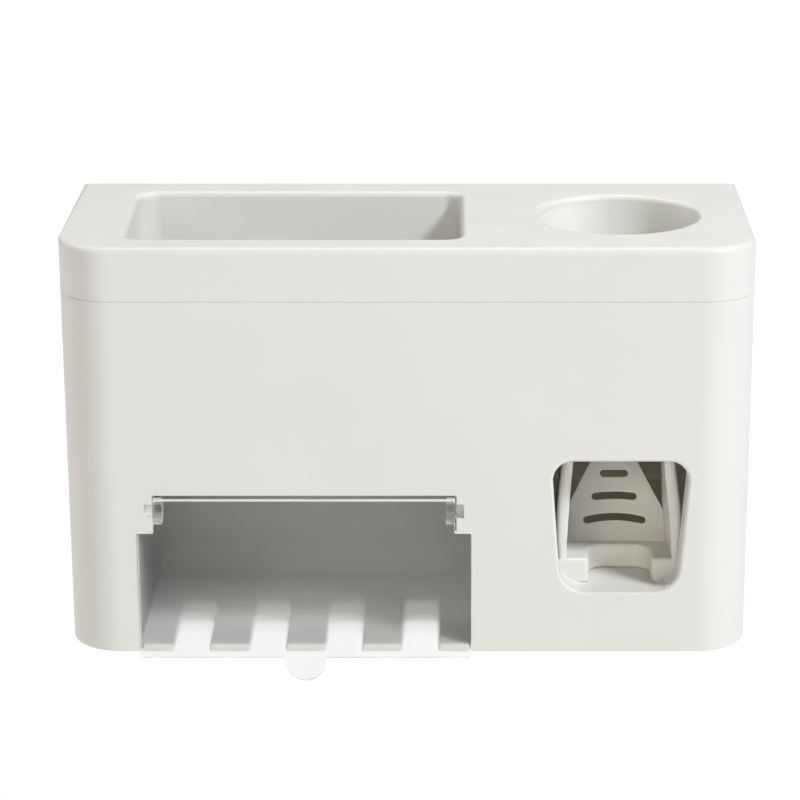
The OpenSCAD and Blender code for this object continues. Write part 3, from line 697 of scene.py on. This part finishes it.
def make_tongue():
    zf = 28.7
    up = lambda z: (z - zf) * HYP
    out = outline([(-18.4, 0, 0.2), (18.4, 0, 0.2), (18.2, up(38), 0.2), (17.3, up(38.7), 0.2), (8.2, up(54.5), 2), (6.5, up(57.5), 2),
                   (6.5, up(64.5), 0.4), (-6.5, up(64.5), 0.4), (-6.5, up(57.5), 2), (-8.2, up(54.5), 2), (-17.3, up(38.7), 0.2), (-18.2, up(38), 0.2)], 10)
    o = solid(out, rounded(-2, 0, 0.25, 0.25, 3))

    def vent(z, length, rise, w=2.5):
        c = (length - w) / 2
        y = up(z)
        if rise == 0:
            line = [(-c + 2 * c * i / 12, 0.0) for i in range(13)]
        else:
            rr = (c * c + rise * rise) / (2 * rise)
            line = [(x, -rr + math.sqrt(rr * rr - x * x) + rise / 2) for x in np.linspace(-c, c, 25)]
        pts, nor = [], []
        line = np.array(line)
        d = np.gradient(line, axis=0)
        d /= np.linalg.norm(d, axis=1)[:, None]
        n = np.stack([-d[:, 1], d[:, 0]], 1)
        for i in range(len(line)):                      # lower side, left to right
            pts.append(line[i] - n[i] * w / 2)
            nor.append(-n[i])
        for a in np.linspace(-math.pi / 2, math.pi / 2, 13)[1:-1]:
            m = d[-1] * math.cos(a) + n[-1] * math.sin(a)
            pts.append(line[-1] + m * w / 2)
            nor.append(m)
        for i in reversed(range(len(line))):
            pts.append(line[i] + n[i] * w / 2)
            nor.append(n[i])
        for a in np.linspace(-math.pi / 2, math.pi / 2, 13)[1:-1]:
            m = -d[0] * math.cos(a) - n[0] * math.sin(a)
            pts.append(line[0] + m * w / 2)
            nor.append(m)
        pts = np.array(pts)
        pts[:, 1] += y
        return solid((pts, np.array(nor)), [(0.8, -4), (0.8, -1.5), (0.0, -0.7)] + flared(-0.7, 0, 0.25, 4)[1:])

    csg(o, minus(vent(50.8, 9.7, 0)), minus(vent(43.8, 15.5, 0.42)), minus(vent(36.8, 21.5, 1.17)))
    a = math.radians(90) - math.atan(0.5)
    o.data.transform(Matrix.Translation((BAY_X, tongue_y(zf), zf)) @ Matrix.Rotation(a, 4, "X"))
    return o


def make_pusher():
    nx, nw = BAY_X + 0.6, 10.9
    block = solid(outline([(49.8, 10, 1.0), (nx - nw + 0.55, 10, 1.1), (nx - nw + 0.55, 24, 6), (nx + nw, 24, 6), (nx + nw, 10, 2.2),
                           (92.2, 10, 1.0), (92.2, 28, 0.6), (49.8, 28, 0.6)], 6), rounded(21.42, 29.7, 0.15, 1.2, 7))
    pin = solid(circle(8, 74, 1.55, 32), [(0, BAY_X - 30), (0, BAY_X + 30)], "x")
    pin2 = solid(circle(8, 74, 1.55, 32), [(0, BAY_X - 30), (0, BAY_X + 30)], "x")
    left, right = csg(make_cheek(-1), minus(pin)), csg(make_cheek(1), minus(pin2))
    return csg(block, plus(left), plus(right), plus(make_tongue()),
               plus(solid(circle(WELL_X, WELL_Y, 14.5, 96), rounded(63.5, 66, 0.4, 0.4, 3))),
               plus(rbox(64.5, tongue_y(63.5) - 2, 63.5, 77.5, tongue_y(63.5) + 8, 66, 0.3)))


pusher = done(make_pusher(), "pusher_lever_piece", "pusher_lever", pusher_white_painted_light_and_shade, ["pusher"])


# ------------------------------------------------------------------ soft and coiled pieces

def smooth_profile(points, sub=4):
    """Closed profile rounded by a Catmull-Rom curve, kept at radius 0 where it starts and ends on the axis."""
    p = np.array(points, float)
    out = []
    for i in range(len(p) - 1):
        a, b, c, d = p[max(i - 1, 0)], p[i], p[i + 1], p[min(i + 2, len(p) - 1)]
        for t in np.linspace(0, 1, sub, endpoint=False):
            q = 0.5 * ((2 * b) + (c - a) * t + (2 * a - 5 * b + 4 * c - d) * t * t + (3 * b - a - 3 * c + d) * t ** 3)
            out.append((max(0.0, q[0]), q[1]))
    out.append(tuple(p[-1]))
    return out


outer = smooth_profile([(0, 66.3), (4, 66.32), (7, 66.5), (9.3, 68), (10.15, 70.5), (8.85, 73), (10.15, 75.5), (8.85, 78), (10.15, 80.5), (9.6, 83), (9.6, 85.7)])
inner = smooth_profile([(8.3, 86), (8.3, 83), (8.85, 80.5), (7.6, 78), (8.85, 75.5), (7.6, 73), (8.85, 70.5), (8.1, 68.6), (6.5, 67.7), (4, 67.6), (0, 67.6)])
bulb = done(lathe(WELL_X, WELL_Y, outer + [(9.7, 85.9), (12.3, 85.9), (12.4, 86.0), (12.4, 87.3), (12.3, 87.4), (8.5, 87.4)] + inner, 96),
            "pump_bellows", "unit", silicone, ["pump_bulb"])


def make_spring():
    turns, r, wire = 5, 12.4, 0.5
    n, k = 40 * turns, 12
    z0, z1 = 66.6, 83.0
    path = []
    for i in range(n + 1):
        t = i / n
        if t < 1 / turns:
            f = t * 0.35
        elif t > 1 - 1 / turns:
            f = 1 - (1 - t) * 0.35
        else:
            f = 0.35 / turns + (t - 1 / turns) * (1 - 0.7 / turns) / (1 - 2 / turns)
        a = 2 * math.pi * i / 40
        path.append(np.array([WELL_X + r * math.cos(a), WELL_Y + r * math.sin(a), z0 + (z1 - z0) * f]))
    path = np.array(path)
    d = np.gradient(path, axis=0)
    d /= np.linalg.norm(d, axis=1)[:, None]
    verts, faces = [], []
    for i in range(n + 1):
        out = path[i] - np.array([WELL_X, WELL_Y, path[i][2]])
        out /= np.linalg.norm(out)
        side = np.cross(d[i], out)
        for j in range(k):
            b = 2 * math.pi * j / k
            verts.append(path[i] + wire * (out * math.cos(b) + side * math.sin(b)))
    for i in range(n):
        for j in range(k):
            faces.append((i * k + j, (i + 1) * k + j, (i + 1) * k + (j + 1) % k, i * k + (j + 1) % k))
    faces.append(tuple(range(k)))
    faces.append(tuple(n * k + j for j in reversed(range(k))))
    return mesh_object(verts, faces)


spring = done(make_spring(), "return_coil", "unit", spring_steel, ["return_spring"])


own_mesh(bulb)
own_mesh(spring)


# ------------------------------------------------------------------ carried-over CAD nodes

def dress(name, material, width=0.25, segments=2):
    o = nodes[name]
    o.data.materials.clear()
    o.data.materials.append(material)
    for p in o.data.polygons:
        p.material_index = 0
        p.use_smooth = True
    w = o.modifiers.new("weld", "WELD")
    w.merge_threshold = 2e-6
    d = o.modifiers.new("flat", "DECIMATE")
    d.decimate_type, d.angle_limit = "DISSOLVE", math.radians(0.5)
    if width:
        b = o.modifiers.new("edges", "BEVEL")
        b.limit_method, b.angle_limit = "ANGLE", math.radians(50)
        b.width, b.segments, b.use_clamp_overlap = width * 0.001, segments, True
        b.miter_outer = "MITER_ARC"
    n = o.modifiers.new("normals", "WEIGHTED_NORMAL")
    n.mode, n.weight = "FACE_AREA", 60


for name, material, width in [
    ("back_cover", rear_white_painted_glow, 0.25), ("dispenser_frame", dark, 0.25), ("pivot_pins", pin_steel, 0.2),
    ("pump_body", natural, 0.25), ("bulb_clamp_ring", dark, 0.25), ("inlet_valve", valve, 0.08),
    ("outlet_valve", valve, 0.06), ("nozzle_elbow", natural, 0.25), ("tube_seal", silicone, 0.3),
    ("seal_retainer", natural, 0.15), ("pump_screws", screw_steel, 0.08), ("frame_screws", screw_steel, 0.08),
    ("chamber_screws", screw_steel, 0.08), ("back_cover_screws", screw_steel, 0.08),
    ("wall_bracket", rear_white_painted_glow, 0.3), ("adhesive_pad", foam, 0.15),
]:
    dress(name, material, width)


# ------------------------------------------------------------------ camera, floor and light

cam = bpy.data.cameras.new("camera")
camera = bpy.data.objects.new("camera", cam)
bpy.context.scene.collection.objects.link(camera)
camera.location = (0.01258, -0.96577, 0.28663)
camera.rotation_euler = (math.radians(72.602), 0, 0)
cam.sensor_width, cam.lens = 36.0, 124.67
cam.shift_x = -0.05636
cam.clip_start, cam.clip_end = 0.01, 60
bpy.context.scene.camera = camera

floor_material, ft, fb = new_material("floor")
grey = noise(ft, 1.5, 2.0)
ft.links.new(tinted(ft, grey.outputs["Fac"], (0.93, 0.93, 0.93), (0.94, 0.94, 0.94)), fb.inputs["Base Color"])
fb.inputs["Roughness"].default_value = 0.8
# the sheet glows faintly behind the object, as a lit sweep does
place = ft.nodes.new("ShaderNodeTexCoord")
apart = ft.nodes.new("ShaderNodeSeparateXYZ")
ft.links.new(place.outputs["Object"], apart.inputs[0])
near = ft.nodes.new("ShaderNodeMapRange")
near.interpolation_type = "SMOOTHSTEP"
near.inputs["From Min"].default_value, near.inputs["From Max"].default_value = 0.05, 0.22
near.inputs["To Min"].default_value, near.inputs["To Max"].default_value = 0.0, 0.09
ft.links.new(apart.outputs["Y"], near.inputs["Value"])
far = ft.nodes.new("ShaderNodeMapRange")
far.inputs["From Min"].default_value, far.inputs["From Max"].default_value = 0.0, 4.0
far.inputs["To Min"].default_value, far.inputs["To Max"].default_value = 0.0, 0.9
ft.links.new(apart.outputs["Y"], far.inputs["Value"])
both_glow = ft.nodes.new("ShaderNodeMath")
both_glow.operation = "ADD"
ft.links.new(near.outputs["Result"], both_glow.inputs[0])
ft.links.new(far.outputs["Result"], both_glow.inputs[1])
fb.inputs["Emission Color"].default_value = (1, 1, 1, 1)
ft.links.new(both_glow.outputs["Value"], fb.inputs["Emission Strength"])
floor = mesh_object([(-9, -6, -0.30), (9, -6, -0.30), (9, 12, -0.30), (-9, 12, -0.30)], [(0, 1, 2, 3)], "floor")
floor.data.materials.append(floor_material)

world = bpy.data.worlds.new("studio")
bpy.context.scene.world = world
world.use_nodes = True
wt = world.node_tree
background = wt.nodes["Background"]
background.inputs["Color"].default_value = (1.0, 1.0, 1.0, 1)
background.inputs["Strength"].default_value = 0.03


def area(name, direction, distance, size, power, colour=(1, 1, 1), target=(0, -0.05, 0.0)):
    light = bpy.data.lights.new(name, "AREA")
    light.shape, light.size, light.energy, light.color = "DISK", size, power, colour
    o = bpy.data.objects.new(name, light)
    bpy.context.scene.collection.objects.link(o)
    d = Vector(direction).normalized()
    o.location = Vector(target) + d * distance
    o.rotation_mode = "QUATERNION"
    o.rotation_quaternion = (-d).to_track_quat("-Z", "Y")
    return o


LIGHTS = [
    ("key", (1, -0.7, 1.187), 2.2, 0.45, 41.5, (0.955, 0.972, 1.0)),
    ("front", (0, -1, 0.25), 3.0, 2.0, 13.8, (0.97, 1.0, 0.90)),
    ("fill", (-0.6, -1, 0.5), 2.5, 0.8, 8.6, (1.0, 0.87, 0.76)),
    ("left", (-1, 0.25, 0.3), 3.0, 1.2, 23.5, (1.0, 0.944, 0.88)),
    ("top", (0, 0.6, 1), 3.0, 2.4, 46.0, (1.0, 0.99, 0.955)),
]
for spec in LIGHTS:
    area(*spec)

view = bpy.context.scene.view_settings
view.view_transform, view.look, view.exposure, view.gamma = "Standard", "None", 0.0, 1.0
